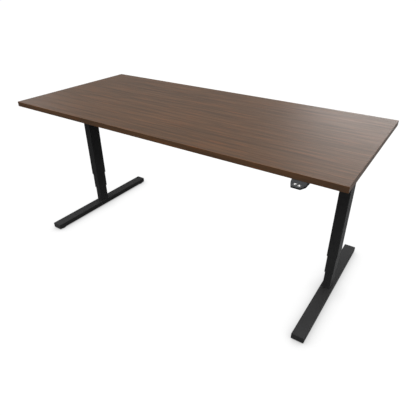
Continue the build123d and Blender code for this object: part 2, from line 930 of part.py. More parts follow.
def levelling_foot(name, column, end, place):
    """Round pad with a stem that screws into the foot beam's weld nut."""
    spot = Plane(origin=column.origin + Vector(*place, 0))
    with BuildPart() as leveller:
        with BuildSketch(spot):
            Circle(pad_diameter / 2)
        extrude(amount=pad_height)
        rim = leveller.edges().group_by(Axis.Z)[-1]
        chamfer(rim, pad_chamfer)
        with BuildSketch(spot.offset(pad_height)):
            Circle(stem_diameter / 2)
        extrude(amount=stem_length)
        chamfer(leveller.edges().group_by(Axis.Z)[-1], stem_chamfer)
    save(leveller, f"{name}_{end}_leveller")


for name, column, inward in columns:
    gear_case(name, column, inward)
    gear_cover(name, column, inward)
    spindle_gear(name, column, inward)
    motor_pinion(name, column, inward)
    motor(name, column, inward)
    ball_bearing(
        f"{name}_head_bearing",
        column,
        head_bearing_top,
        head_bearing_width,
        head_bearing_outside,
        journal_diameter + 2 * running_fit,
    )
    ball_bearing(
        f"{name}_lower_spindle_bearing",
        column,
        carrier_bearing_top,
        carrier_bearing_width,
        carrier_bearing_outside,
        hollow_journal + 2 * running_fit,
    )
    outer_tube(name, column)
    middle_tube(name, column)
    inner_tube(name, column)
    middle_glides(name, column)
    inner_glides(name, column)
    middle_carrier(name, column)
    upper_nut(name, column)
    lower_nut(name, column)
    upper_spindle(name, column)
    lower_spindle(name, column)
    foot_beam(name, column)
    foot_end_caps(name, column)
    foot_bolts(name, column)
    for end, place in leveller_places().items():
        levelling_foot(name, column, end, place)

with BuildPart() as outer_tube_glides:
    for name, column, inward in columns:
        glide_in_mouth(column, 0, outer_bottom)
        glide_windows(column, outer_bottom)
save(outer_tube_glides, "outer_tube_glides")

# --------------------------------------------------------------- control box
box_plane = Plane(origin=(0, box_y, underside - box_height))
with BuildPart() as control_box_base:
    with BuildSketch(Plane.XY.offset(bracket_bottom)):
        with Locations((0, box_y)):
            RectangleRounded(box_length, box_depth, box_corner)
        with Locations(*box_lug_places()):
            RectangleRounded(lug_width, 2 * lug_reach, lug_corner)
            Circle(screw_diameter / 2, mode=Mode.SUBTRACT)
    extrude(amount=bracket_thickness)
save(control_box_base, "control_box_base")

socket_level = (box_height - bracket_thickness) / 2
socket_face = Plane(
    origin=box_plane.origin + Vector(0, box_depth / 2, socket_level),
    x_dir=(1, 0, 0),
    z_dir=(0, -1, 0),
)
with BuildPart() as control_box_cover:
    with BuildSketch(box_plane):
        RectangleRounded(box_length, box_depth, box_corner)
    extrude(amount=box_height - bracket_thickness)
    fillet(control_box_cover.edges().group_by(Axis.Z)[0], box_wall)
    with BuildSketch(box_plane.offset(box_wall)):
        with Locations((0, (box_wall - socket_block) / 2)):
            Rectangle(box_length - 2 * box_wall, box_depth - box_wall - socket_block)
    extrude(amount=box_height, mode=Mode.SUBTRACT)
    with BuildSketch(socket_face):
        with Locations((-1.5 * socket_pitch - inlet_width, 0)):
            Rectangle(inlet_width, inlet_height)
        with GridLocations(socket_pitch, 0, 3, 1):
            Rectangle(socket_width, socket_height)
    extrude(amount=socket_depth, mode=Mode.SUBTRACT)
    with BuildSketch(box_plane):
        with GridLocations(vent_pitch, 0, vent_count, 1):
            Rectangle(vent_width, vent_length)
    extrude(amount=box_wall, mode=Mode.SUBTRACT)
save(control_box_cover, "control_box_cover")

# ------------------------------------------------------------------- handset
handset_rear = handset_depth - handset_overhang
handset_side = Plane(
    origin=(handset_x, desk_front, underside), x_dir=(0, 1, 0), z_dir=(1, 0, 0)
)
handset_floor = Plane(origin=(handset_x, desk_front, underside - handset_drop))
face_top = Vector(handset_x, desk_front - handset_brow, underside - handset_brow)
face_fall = Vector(0, handset_brow - handset_overhang, handset_brow - handset_lip_drop)
face_plane = Plane(
    origin=face_top + face_fall / 2,
    x_dir=(1, 0, 0),
    z_dir=face_fall.cross(Vector(1, 0, 0)),
)


def handset_outline(shrink=0.0):
    """Plan outline of the handset, narrowing to its rounded front."""
    half, front_half = handset_width / 2, handset_front_width / 2
    taper_end = handset_taper_length - handset_overhang
    with BuildSketch(mode=Mode.PRIVATE) as outline:
        Polygon(
            (-half, handset_rear),
            (-half, taper_end),
            (-front_half, -handset_overhang),
            (front_half, -handset_overhang),
            (half, taper_end),
            (half, handset_rear),
            align=None,
        )
        fillet(outline.vertices().group_by(Axis.Y)[0], handset_corner)
        if shrink:
            offset(amount=-shrink)
    return outline.sketch


def face_line(drop):
    """The handset's top line, lowered by drop: brow from the desk's edge, then button face."""
    return [
        (0, -drop),
        (-handset_brow, -handset_brow - drop),
        (-handset_overhang, -handset_lip_drop - drop),
    ]


def button_places():
    """Centres of the two buttons on the sloping face."""
    return [(dx, button_offset) for dx in (-button_pitch / 2, button_pitch / 2)]


rim_top = -face_thickness - button_gap
rim_bottom = rim_top - button_rim_thickness
post_top = rim_bottom - button_travel - button_gap

with BuildPart() as handset_housing:
    with BuildSketch(handset_side):
        Polygon(
            (handset_rear, 0),
            (handset_rear, -bracket_thickness),
            (handset_rear - lug_reach, -bracket_thickness),
            (handset_rear - lug_reach, -handset_drop),
            (-handset_overhang, -handset_drop),
            *reversed(face_line(face_thickness)),
            (0, 0),
            align=None,
        )
    extrude(amount=handset_width / 2, both=True)
    with BuildSketch(handset_floor):
        add(handset_outline())
    extrude(amount=handset_drop, mode=Mode.INTERSECT)
    with BuildSketch(handset_floor.offset(shell_wall)):
        add(handset_outline(shell_wall))
        room = (handset_depth - lug_reach) / 2 - shell_wall
        with Locations((0, room + shell_wall - handset_overhang)):
            Rectangle(handset_width, 2 * room, mode=Mode.INTERSECT)
    extrude(amount=handset_drop - 2 * shell_wall, mode=Mode.SUBTRACT)
    with BuildSketch(face_plane.offset(post_top)):
        with Locations(*button_places()):
            Circle(button_post_diameter / 2)
    extrude(amount=-button_post)
    with BuildSketch(Plane.XY.offset(bracket_bottom)):
        with Locations(*handset_screw_places()):
            Circle(screw_diameter / 2)
    extrude(amount=bracket_thickness, mode=Mode.SUBTRACT)
save(handset_housing, "handset_housing")

with BuildPart() as handset_cover:
    with BuildSketch(handset_side):
        Polygon(*face_line(0), *reversed(face_line(face_thickness)), align=None)
    extrude(amount=handset_width / 2, both=True)
    with BuildSketch(handset_floor):
        add(handset_outline())
    extrude(amount=handset_drop, mode=Mode.INTERSECT)
    with BuildSketch(face_plane):
        with Locations(*button_places()):
            RectangleRounded(
                button_width + 2 * button_clearance,
                button_length + 2 * button_clearance,
                button_radius + button_clearance,
            )
    extrude(amount=2 * face_thickness, both=True, mode=Mode.SUBTRACT)
save(handset_cover, "handset_cover")

for button_name, place in zip(("down_button", "up_button"), button_places()):
    with BuildPart() as button:
        with BuildSketch(face_plane.offset(rim_top)):
            with Locations(place):
                RectangleRounded(button_width, button_length, button_radius)
        extrude(amount=button_stands - rim_top)
        fillet(button.faces().sort_by(Axis.Z)[-1].edges(), button_edge)
        with BuildSketch(face_plane.offset(rim_bottom)):
            with Locations(place):
                RectangleRounded(
                    button_width + button_rim,
                    button_length + 2 * button_rim,
                    button_radius,
                )
        extrude(amount=button_rim_thickness)
    save(button, button_name)
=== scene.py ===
"""Finishes, small parts and studio for the height-adjustable standing desk."""

import json
from math import pi, radians

import bmesh
import bpy
from bpy.props import FloatProperty, FloatVectorProperty, IntProperty, PointerProperty
from mathutils import Matrix, Vector


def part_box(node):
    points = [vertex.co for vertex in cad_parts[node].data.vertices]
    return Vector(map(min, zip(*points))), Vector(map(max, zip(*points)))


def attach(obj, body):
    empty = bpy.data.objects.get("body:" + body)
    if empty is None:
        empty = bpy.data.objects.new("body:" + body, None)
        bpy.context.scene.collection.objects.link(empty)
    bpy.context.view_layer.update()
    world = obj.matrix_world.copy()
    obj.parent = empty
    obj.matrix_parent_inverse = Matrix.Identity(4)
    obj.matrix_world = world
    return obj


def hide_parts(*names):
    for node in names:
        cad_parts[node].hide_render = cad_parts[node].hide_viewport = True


bl_info = {
    "name": "Standing desk dressing",
    "version": (1, 0, 0),
    "blender": (4, 5, 0),
    "location": "3D View > Sidebar > Desk",
    "description": "Dresses the packed standing desk and lights it in a plain studio",
    "category": "Object",
}

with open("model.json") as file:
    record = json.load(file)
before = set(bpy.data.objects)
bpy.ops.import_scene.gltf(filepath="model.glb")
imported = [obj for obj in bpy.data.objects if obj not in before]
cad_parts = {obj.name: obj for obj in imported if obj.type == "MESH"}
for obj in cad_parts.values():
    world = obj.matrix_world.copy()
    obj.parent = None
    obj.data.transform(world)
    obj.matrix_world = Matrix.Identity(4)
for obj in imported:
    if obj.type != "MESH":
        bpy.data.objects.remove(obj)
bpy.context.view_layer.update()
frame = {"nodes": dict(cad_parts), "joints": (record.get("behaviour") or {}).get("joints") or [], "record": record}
nodes = frame["nodes"]
record = frame["record"]

SIDES = ("left", "right")
ENDS = ("front", "rear")
# Kinds of input of a geometry tree.
LENGTH = "NodeSocketFloat"
COUNT = "NodeSocketInt"
PLACE = "NodeSocketVector"
# Sockets of the mix node, which has several of the same name.
MIX_FACTOR, MIX_FIRST, MIX_SECOND, MIX_RESULT = 0, 6, 7, 2
# Colours that mean no tint and no light.
WHITE = (1.0, 1.0, 1.0, 1.0)
BLACK = (0.0, 0.0, 0.0, 1.0)
# Nearly all noise lies between these two values.
LOW_NOISE, HIGH_NOISE = 0.3, 0.7
# Corners nearer than this, in metres, are one corner.
WELD = 1e-7


# ------------------------------------------------------------------ the record
def slot_colour(slot):
    """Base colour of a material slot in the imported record."""
    for material in record["materials"]:
        if material["slot"] == slot:
            return tuple(material["base_color"][:3])
    raise RuntimeError(f"the record has no material slot {slot}")


def nodes_of_slot(slot):
    """CAD objects whose finish is the named slot."""
    return [nodes[part["node"]] for part in record["subparts"] if part["material_slot"] == slot]


def key_normal():
    """Outward normal of the keys, from the axis that they are pressed along."""
    for joint in frame["joints"]:
        if joint["name"] == "up_key_press":
            return Vector(joint["axis"]).normalized()
    raise RuntimeError("the record has no key joint")


# ------------------------------------------------------------------ node trees
def add_node(tree, kind, sockets=None, **fields):
    """Add a node, set its fields, and fill or link its input sockets."""
    made = tree.nodes.new(kind)
    for field, value in fields.items():
        setattr(made, field, value)
    for key, value in (sockets or {}).items():
        if isinstance(value, bpy.types.NodeSocket):
            tree.links.new(value, made.inputs[key])
        else:
            made.inputs[key].default_value = value
    return made


def opaque(colour, share=1.0):
    """Colour with full alpha, darkened or lightened by a share."""
    return tuple(channel * share for channel in colour) + (1.0,)


def new_finish(name):
    """Empty material with a Principled shader wired to its output."""
    material = bpy.data.materials.new(name)
    material.use_nodes = True
    tree = material.node_tree
    tree.nodes.clear()
    shader = add_node(tree, "ShaderNodeBsdfPrincipled")
    add_node(tree, "ShaderNodeOutputMaterial", {"Surface": shader.outputs["BSDF"]})
    return material, tree, shader


def stretched_noise(tree, scale, detail, distortion=0.0):
    """Noise on Object coordinates, with its own scale along each axis in cycles a metre."""
    coarseness = 0.55
    where = add_node(tree, "ShaderNodeTexCoord").outputs["Object"]
    placed = add_node(tree, "ShaderNodeMapping", {"Vector": where, "Scale": scale})
    noise = add_node(
        tree,
        "ShaderNodeTexNoise",
        {
            "Vector": placed.outputs["Vector"],
            "Scale": 1.0,
            "Detail": detail,
            "Roughness": coarseness,
            "Distortion": distortion,
        },
    )
    return noise.outputs["Fac"]


def ramp(tree, factor, stops):
    """Colour ramp from (position, colour) stops."""
    made = add_node(tree, "ShaderNodeValToRGB", {"Fac": factor})
    elements = made.color_ramp.elements
    while len(elements) < len(stops):
        elements.new(0.5)
    for element, (position, colour) in zip(elements, stops):
        element.position = position
        element.color = colour
    return made.outputs["Color"]


def spread(tree, factor, low, high):
    """Map noise onto a span of values."""
    made = add_node(
        tree,
        "ShaderNodeMapRange",
        {
            "Value": factor,
            "From Min": LOW_NOISE,
            "From Max": HIGH_NOISE,
            "To Min": low,
            "To Max": high,
        },
    )
    return made.outputs["Result"]


def blend_colours(tree, factor, first, second, blend_type="MIX"):
    """Mix two colours, which may be values or sockets."""
    sockets = {MIX_FACTOR: factor, MIX_FIRST: first, MIX_SECOND: second}
    made = add_node(tree, "ShaderNodeMix", sockets, data_type="RGBA", blend_type=blend_type)
    return made.outputs[MIX_RESULT]


def relief(tree, height, depth):
    """Bump of a given depth in metres."""
    made = add_node(tree, "ShaderNodeBump", {"Height": height, "Distance": depth, "Strength": 1.0})
    return made.outputs["Normal"]


def grained_finish(name, colour, variation, grain, rough, metallic=0.0, specular=0.5, depth=2e-5):
    """Cast, moulded, coated or printed surface with an even grain, in cycles a metre."""
    clouds = 9.0
    pits = opaque((0.86, 0.86, 0.86))
    dark, light = opaque(colour, 1 - variation), opaque(colour, 1 + variation)
    material, tree, shader = new_finish(name)
    cloud = stretched_noise(tree, (clouds, clouds, clouds), detail=3.0)
    fine = stretched_noise(tree, (grain, grain, grain), detail=2.0)
    tinted = ramp(tree, cloud, [(LOW_NOISE, dark), (HIGH_NOISE, light)])
    speckled = ramp(tree, fine, [(0.35, pits), (0.65, WHITE)])
    base = blend_colours(tree, 1.0, tinted, speckled, "MULTIPLY")
    tree.links.new(base, shader.inputs["Base Color"])
    tree.links.new(spread(tree, fine, *rough), shader.inputs["Roughness"])
    tree.links.new(relief(tree, fine, depth), shader.inputs["Normal"])
    shader.inputs["Metallic"].default_value = metallic
    shader.inputs["Specular IOR Level"].default_value = specular
    return material


def turned_finish(name, colour, marks, rough):
    """Bright metal with tool marks, in cycles a metre along each axis."""
    stains, mark_depth = 14.0, 1e-5
    dull, bright = opaque(colour, 0.86), opaque(colour, 1.08)
    material, tree, shader = new_finish(name)
    mark = stretched_noise(tree, marks, detail=3.0)
    stain = stretched_noise(tree, (stains, stains, stains), detail=4.0)
    shade = ramp(tree, stain, [(LOW_NOISE, dull), (HIGH_NOISE, bright)])
    tree.links.new(shade, shader.inputs["Base Color"])
    tree.links.new(spread(tree, mark, *rough), shader.inputs["Roughness"])
    tree.links.new(relief(tree, mark, mark_depth), shader.inputs["Normal"])
    shader.inputs["Metallic"].default_value = 1.0
    return material


# -------------------------------------------------------------------- finishes
def walnut(name, wood, shade, gloss, lying=True):
    """Straight-grained walnut laminate with its grain along X or, on the end bands, along Y."""
    material, tree, shader = new_finish(name)
    across = 1 / wood.grain_width
    along = 1 / wood.grain_length
    # shade scales the walnut's colours: 1 on the board, painted light on the long bands and painted shade on the
    # end bands.
    light, mid, dark = (opaque(tone, shade) for tone in (wood.light, wood.mid, wood.dark))
    cool_plank, warm_plank = opaque((0.94, 0.95, 0.965)), opaque((1.04, 1.025, 1.005))
    red_flame, dark_pore = opaque((1.34, 1.1, 0.95)), opaque((0.75, 0.8, 0.87))
    sheen_change, pore_depth = 0.03, 4e-5

    def grain(length_share, width_share, detail, distortion=0.0):
        """Noise in marks of a share of a streak's usual length and width."""
        run, cross = along / length_share, across / width_share
        scale = (run, cross, cross) if lying else (cross, run, cross)
        return stretched_noise(tree, scale, detail=detail, distortion=distortion)

    plank = grain(length_share=2.0, width_share=6.0, detail=2.0, distortion=0.4)
    streak = grain(length_share=0.7, width_share=0.55, detail=3.0, distortion=0.25)
    flame = grain(length_share=0.3, width_share=0.45, detail=2.0, distortion=0.1)
    pores = grain(length_share=0.06, width_share=0.05, detail=2.0)
    body = ramp(tree, streak, [(0.3, dark), (0.5, mid), (0.72, light)])
    tone = ramp(tree, plank, [(0.32, cool_plank), (0.68, warm_plank)])
    toned = blend_colours(tree, 1.0, body, tone, "MULTIPLY")
    red = ramp(tree, flame, [(0.55, BLACK), (0.72, WHITE)])
    glow = blend_colours(tree, red, WHITE, red_flame)
    warmed = blend_colours(tree, 1.0, toned, glow, "MULTIPLY")
    open_pores = ramp(tree, pores, [(0.32, dark_pore), (0.42, WHITE)])
    finished = blend_colours(tree, 1.0, warmed, open_pores, "MULTIPLY")
    tree.links.new(finished, shader.inputs["Base Color"])
    low, high = wood.wood_roughness - sheen_change, wood.wood_roughness + sheen_change
    tree.links.new(spread(tree, streak, high, low), shader.inputs["Roughness"])
    tree.links.new(relief(tree, pores, pore_depth), shader.inputs["Normal"])
    shader.inputs["Specular IOR Level"].default_value = gloss
    return material


def give(objects, material):
    """Put one material on every slot of the objects."""
    for piece in objects:
        piece.data.materials.clear()
        piece.data.materials.append(material)


# ---------------------------------------------------------------- mesh helpers
def close_into(mesh, shape):
    """Join a shape's doubled corners, turn its faces outward and make it the mesh."""
    bmesh.ops.remove_doubles(shape, verts=shape.verts, dist=WELD)
    bmesh.ops.recalc_face_normals(shape, faces=shape.faces)
    shape.to_mesh(mesh)
    shape.free()


def outward(mesh):
    """Join a mesh's doubled corners and turn its faces outward."""
    shape = bmesh.new()
    shape.from_mesh(mesh)
    close_into(mesh, shape)


def mesh_piece(name, build, material, body):
    """Object from a shape that the build function fills, riding on a body."""
    mesh = bpy.data.meshes.new(name)
    shape = bmesh.new()
    build(shape)
    close_into(mesh, shape)
    piece = bpy.data.objects.new(name, mesh)
    bpy.context.scene.collection.objects.link(piece)
    piece.data.materials.append(material)
    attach(piece, body)
    return piece


def box_centre(node):
    """Middle of a CAD node's box."""
    low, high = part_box(node)
    return (low + high) / 2


def smooth_rounds(mesh):
    """Shade rounds smoothly and keep edges sharp."""
    sharp_edge = radians(30)
    mesh.shade_smooth()
    mesh.set_sharp_from_angle(angle=sharp_edge)


# ------------------------------------------------------------ geometry trees
def shape_tree(name, sizes):
    """Geometry tree with a named input for each size, and those inputs."""
    tree = bpy.data.node_groups.new(name, "GeometryNodeTree")
    tree.interface.new_socket("Geometry", in_out="OUTPUT", socket_type="NodeSocketGeometry")
    for label, kind in sizes.items():
        tree.interface.new_socket(label, in_out="INPUT", socket_type=kind)
    return tree, add_node(tree, "NodeGroupInput").outputs


def end_shape(tree, geometry, material):
    """Turn the repeated shape into real mesh with its material and send it out."""
    solid = add_node(tree, "GeometryNodeRealizeInstances", {"Geometry": geometry})
    finished = add_node(
        tree,
        "GeometryNodeSetMaterial",
        {"Geometry": solid.outputs["Geometry"], "Material": material},
    )
    add_node(tree, "NodeGroupOutput", {"Geometry": finished.outputs["Geometry"]})


def maths(tree, operation, first, second):
    """Result of one sum in a node tree."""
    made = add_node(tree, "ShaderNodeMath", {0: first, 1: second}, operation=operation)
    return made.outputs["Value"]


def triple(tree, x, y, z):
    """Vector of three numbers in a node tree."""
    return add_node(tree, "ShaderNodeCombineXYZ", {"X": x, "Y": y, "Z": z}).outputs["Vector"]


def share_of_turn(tree, count):
    """Turn about Z that spaces instances evenly, by their order."""
    order = add_node(tree, "GeometryNodeInputIndex").outputs["Index"]
    share = maths(tree, "DIVIDE", order, count)
    return triple(tree, 0.0, 0.0, maths(tree, "MULTIPLY", share, 2 * pi))


def scatter(tree, points, shape, turn=(0.0, 0.0, 0.0)):
    """One instance of a shape at each point."""
    made = add_node(
        tree,
        "GeometryNodeInstanceOnPoints",
        {"Points": points, "Instance": shape, "Rotation": turn},
    )
    return made.outputs["Instances"]


def thread_tree(material):
    """Ridges of a trapezoidal thread with several starts, wound round a spindle's root."""
    sizes = {
        "Base": PLACE,
        "Length": LENGTH,
        "Root radius": LENGTH,
        "Depth": LENGTH,
        "Lead": LENGTH,
        "Starts": COUNT,
        "Steps a turn": COUNT,
    }
    # The ridge is sunk into the root by a quarter of its depth.
    height_share = 1.25
    # Widths of the ridge's crest and foot, as shares of the pitch.
    crest_share, foot_share = 0.36, 0.66
    tree, size = shape_tree("spindle_thread", sizes)
    pitch = maths(tree, "DIVIDE", size["Lead"], size["Starts"])
    ridge_height = maths(tree, "MULTIPLY", size["Depth"], height_share)
    half_height = maths(tree, "MULTIPLY", ridge_height, 0.5)
    outside = maths(tree, "ADD", size["Root radius"], size["Depth"])
    middle = maths(tree, "SUBTRACT", outside, half_height)
    spiral = add_node(
        tree,
        "GeometryNodeCurveSpiral",
        {
            "Resolution": size["Steps a turn"],
            "Rotations": maths(tree, "DIVIDE", size["Length"], size["Lead"]),
            "Start Radius": middle,
            "End Radius": middle,
            "Height": size["Length"],
            "Reverse": True,
        },
    )
    upright = add_node(
        tree, "GeometryNodeSetCurveNormal", {"Curve": spiral.outputs["Curve"]}, mode="Z_UP"
    )
    section = add_node(
        tree,
        "GeometryNodeCurvePrimitiveQuadrilateral",
        {
            "Height": ridge_height,
            "Bottom Width": maths(tree, "MULTIPLY", pitch, crest_share),
            "Top Width": maths(tree, "MULTIPLY", pitch, foot_share),
            "Offset": 0.0,
        },
        mode="TRAPEZOID",
    )
    facing_out = add_node(
        tree,
        "GeometryNodeTransform",
        {"Geometry": section.outputs["Curve"], "Rotation": (0.0, 0.0, pi / 2)},
    )
    ridge = add_node(
        tree,
        "GeometryNodeCurveToMesh",
        {
            "Curve": upright.outputs["Curve"],
            "Profile Curve": facing_out.outputs["Geometry"],
            "Fill Caps": True,
        },
    )
    starts = add_node(
        tree,
        "GeometryNodeMeshLine",
        {"Count": size["Starts"], "Start Location": size["Base"], "Offset": (0.0, 0.0, 0.0)},
    )
    turn = share_of_turn(tree, size["Starts"])
    wound = scatter(tree, starts.outputs["Mesh"], ridge.outputs["Mesh"], turn)
    end_shape(tree, wound, material)
    return tree


def rib_tree(material):
    """Upright grip ribs round a pad."""
    sizes = {
        "Centre": PLACE,
        "Radius": LENGTH,
        "Width": LENGTH,
        "Thickness": LENGTH,
        "Height": LENGTH,
        "Count": COUNT,
    }
    tree, size = shape_tree("pad_ribs", sizes)
    ring = add_node(
        tree, "GeometryNodeMeshCircle", {"Vertices": size["Count"], "Radius": size["Radius"]}
    )
    placed = add_node(
        tree,
        "GeometryNodeTransform",
        {"Geometry": ring.outputs["Mesh"], "Translation": size["Centre"]},
    )
    rib = add_node(
        tree,
        "GeometryNodeMeshCube",
        {"Size": triple(tree, size["Thickness"], size["Width"], size["Height"])},
    )
    turn = share_of_turn(tree, size["Count"])
    ribs = scatter(tree, placed.outputs["Geometry"], rib.outputs["Mesh"], turn)
    end_shape(tree, ribs, material)
    return tree


def screw_tree(material):
    """Rows of round-headed screws seen from below, each with a cross recess."""
    sizes = {
        "Centre": PLACE,
        "Span": PLACE,
        "Columns": COUNT,
        "Rows": COUNT,
        "Head diameter": LENGTH,
        "Head height": LENGTH,
    }
    sides = 24
    # Radii of the head's rim and face, and the bars of its cross, as shares of its diameter.
    rim_share, face_share = 0.5, 0.38
    bar_length, bar_width = 0.5, 0.12
    tree, size = shape_tree("screw_heads", sizes)
    span = add_node(tree, "ShaderNodeSeparateXYZ", {"Vector": size["Span"]}).outputs
    grid = add_node(
        tree,
        "GeometryNodeMeshGrid",
        {
            "Size X": span["X"],
            "Size Y": span["Y"],
            "Vertices X": size["Columns"],
            "Vertices Y": size["Rows"],
        },
    )
    placed = add_node(
        tree,
        "GeometryNodeTransform",
        {"Geometry": grid.outputs["Mesh"], "Translation": size["Centre"]},
    )
    head = add_node(
        tree,
        "GeometryNodeMeshCone",
        {
            "Vertices": sides,
            "Radius Top": maths(tree, "MULTIPLY", size["Head diameter"], rim_share),
            "Radius Bottom": maths(tree, "MULTIPLY", size["Head diameter"], face_share),
            "Depth": size["Head height"],
        },
    )
    long = maths(tree, "MULTIPLY", size["Head diameter"], bar_length)
    short = maths(tree, "MULTIPLY", size["Head diameter"], bar_width)
    cross = add_node(tree, "GeometryNodeJoinGeometry")
    for across, along in ((long, short), (short, long)):
        bar_size = triple(tree, across, along, size["Head height"])
        bar = add_node(tree, "GeometryNodeMeshCube", {"Size": bar_size})
        tree.links.new(bar.outputs["Mesh"], cross.inputs["Geometry"])
    cut = add_node(tree, "GeometryNodeMeshBoolean", operation="DIFFERENCE", solver="EXACT")
    tree.links.new(head.outputs["Mesh"], cut.inputs[0])
    tree.links.new(cross.outputs["Geometry"], cut.inputs[1])
    cut.inputs["Self Intersection"].default_value = True
    screws = scatter(tree, placed.outputs["Geometry"], cut.outputs["Mesh"])
    end_shape(tree, screws, material)
    return tree


def grown_piece(name, tree, sizes, body):
    """Plain mesh of what a geometry tree makes from its sizes, riding on a body."""
    piece = bpy.data.objects.new(name, bpy.data.meshes.new(name))
    bpy.context.scene.collection.objects.link(piece)
    grower = piece.modifiers.new("shape", "NODES")
    grower.node_group = tree
    for item in tree.interface.items_tree:
        if item.in_out == "INPUT":
            grower[item.identifier] = sizes[item.name]
    evaluated = piece.evaluated_get(bpy.context.evaluated_depsgraph_get())
    grown = bpy.data.meshes.new_from_object(evaluated)
    piece.modifiers.remove(grower)
    piece.data = grown
    grown.materials.pop(index=0)
    outward(grown)
    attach(piece, body)
    return piece


# --------------------------------------------------------------- settings
class DeskWood(bpy.types.PropertyGroup):
    """Colours and grain of the worktop."""

    light: FloatVectorProperty(
        name="Light streaks",
        description="Colour of the lightest grain",
        subtype="COLOR",
        default=(0.132, 0.0685, 0.0355),
    )
    mid: FloatVectorProperty(
        name="Ground",
        description="Colour of the grain's ground",
        subtype="COLOR",
        default=(0.1033, 0.0576, 0.0329),
    )
    dark: FloatVectorProperty(
        name="Dark streaks",
        description="Colour of the darkest grain",
        subtype="COLOR",
        default=(0.0748, 0.0467, 0.03),
    )
    # Painted light: the front and rear bands take the board's walnut made brighter by this share, standing in for
    # light on these upright faces.
    band_painted_light: FloatProperty(
        name="Edge band shade",
        description="Brightness of the front and rear bands beside the top",
        default=1.72,
    )
    # Painted shade: the bands on the two ends take the board's walnut made darker by this share, standing in for
    # how light falls on them.
    end_painted_shade: FloatProperty(
        name="End band shade",
        description="Brightness of the bands on the two ends beside the top",
        default=0.85,
    )
    grain_length: FloatProperty(
        name="Streak length",
        description="Usual length of a streak",
        unit="LENGTH",
        default=0.42,
    )
    grain_width: FloatProperty(
        name="Streak width",
        description="Usual width of a streak",
        unit="LENGTH",
        default=0.022,
    )
    wood_roughness: FloatProperty(
        name="Roughness",
        description="Sheen of the laminate, from mirror to dull",
        subtype="FACTOR",
        default=0.5,
    )
    top_gloss: FloatProperty(
        name="Top gloss",
        description="Strength of the top's reflection",
        subtype="FACTOR",
        default=0.065,
    )
    band_gloss: FloatProperty(
        name="Long band gloss",
        description="Strength of the reflection in the front and rear bands",
        subtype="FACTOR",
        default=0.02,
    )
    end_gloss: FloatProperty(
        name="End band gloss",
        description="Strength of the reflection in the bands on the two ends",
        subtype="FACTOR",
        default=0.05,
    )


class DeskMetal(bpy.types.PropertyGroup):
    """Colours of the frame, its feet and the drive, and the grain of the coat."""

    coat: FloatVectorProperty(
        name="Powder coat",
        description="Colour of tubes, brackets, rails and feet",
        subtype="COLOR",
        default=(0.068, 0.068, 0.069),
    )
    coat_grain: FloatProperty(
        name="Coat grain",
        description="Size of one grain of the powder coat",
        unit="LENGTH",
        default=0.0009,
    )
    zinc: FloatVectorProperty(
        name="Zinc plate",
        description="Colour of bolts and screws",
        subtype="COLOR",
        default=slot_colour("zinc_fastener"),
    )
    steel: FloatVectorProperty(
        name="Rolled steel",
        description="Colour of the spindles and pinions",
        subtype="COLOR",
        default=slot_colour("spindle_steel"),
    )
    alloy: FloatVectorProperty(
        name="Cast alloy",
        description="Colour of the gear cases and their lids",
        subtype="COLOR",
        default=slot_colour("cast_alloy"),
    )


class DeskHardware(bpy.types.PropertyGroup):
    """Sizes of threads, grip ribs and screw heads."""

    thread_lead: FloatProperty(
        name="Thread lead",
        description="Rise of the spindle threads in one turn",
        unit="LENGTH",
        default=0.008,
    )
    thread_depth: FloatProperty(
        name="Thread depth",
        description="Height of a thread's ridge above its root",
        unit="LENGTH",
        default=0.0009,
    )
    thread_starts: IntProperty(
        name="Thread starts",
        description="Ridges that run side by side on a spindle",
        default=4,
        min=1,
    )
    thread_steps: IntProperty(
        name="Thread smoothness",
        description="Straight steps in one turn of a ridge",
        default=20,
        min=8,
    )
    upper_thread: FloatProperty(
        name="Upper spindle diameter",
        description="Outside diameter of the upper spindles' thread",
        unit="LENGTH",
        default=0.012,
    )
    lower_thread: FloatProperty(
        name="Lower spindle diameter",
        description="Outside diameter of the lower spindles' thread",
        unit="LENGTH",
        default=0.022,
    )
    rib_count: IntProperty(
        name="Pad ribs",
        description="Grip ribs round each levelling pad",
        default=36,
        min=3,
    )
    rib_width: FloatProperty(
        name="Rib width",
        description="Width of a grip rib along the pad's rim",
        unit="LENGTH",
        default=0.0018,
    )
    rib_relief: FloatProperty(
        name="Rib relief",
        description="How far a grip rib stands out of the pad's rim",
        unit="LENGTH",
        default=0.0005,
    )
    cover_screw: FloatProperty(
        name="Cover screw head",
        description="Head diameter of the screws in the control box's cover",
        unit="LENGTH",
        default=0.0066,
    )
    cover_screw_inset: FloatProperty(
        name="Cover screw inset",
        description="Distance of the cover's screws from its sides",
        unit="LENGTH",
        default=0.011,
    )
    handset_screw: FloatProperty(
        name="Handset screw head",
        description="Head diameter of the screws under the handset",
        unit="LENGTH",
        default=0.0046,
    )


class DeskMouldings(bpy.types.PropertyGroup):
    """Colours of the mouldings, and the arrows on the keys."""

    black: FloatVectorProperty(
        name="Black moulding",
        description="Colour of the end caps and control box",
        subtype="COLOR",
        default=(0.055, 0.055, 0.056),
    )
    housing: FloatVectorProperty(
        name="Handset housing",
        description="Colour of the handset's lower shell",
        subtype="COLOR",
        default=(0.01, 0.01, 0.0105),
    )
    plate: FloatVectorProperty(
        name="Handset face",
        description="Colour of the handset's sloping top plate",
        subtype="COLOR",
        default=(0.058, 0.061, 0.064),
    )
    keys: FloatVectorProperty(
        name="Keys",
        description="Colour of the two keys",
        subtype="COLOR",
        default=(0.145, 0.146, 0.147),
    )
    arrow_width: FloatProperty(
        name="Arrow width",
        description="Width of the arrow on each key",
        unit="LENGTH",
        default=0.0098,
    )
    arrow_length: FloatProperty(
        name="Arrow length",
        description="Length of the arrow on each key, from its base to its tip",
        unit="LENGTH",
        default=0.0122,
    )
    arrow_relief: FloatProperty(
        name="Arrow thickness",
        description="How far the printed arrow stands on its key",
        unit="LENGTH",
        default=0.0002,
    )


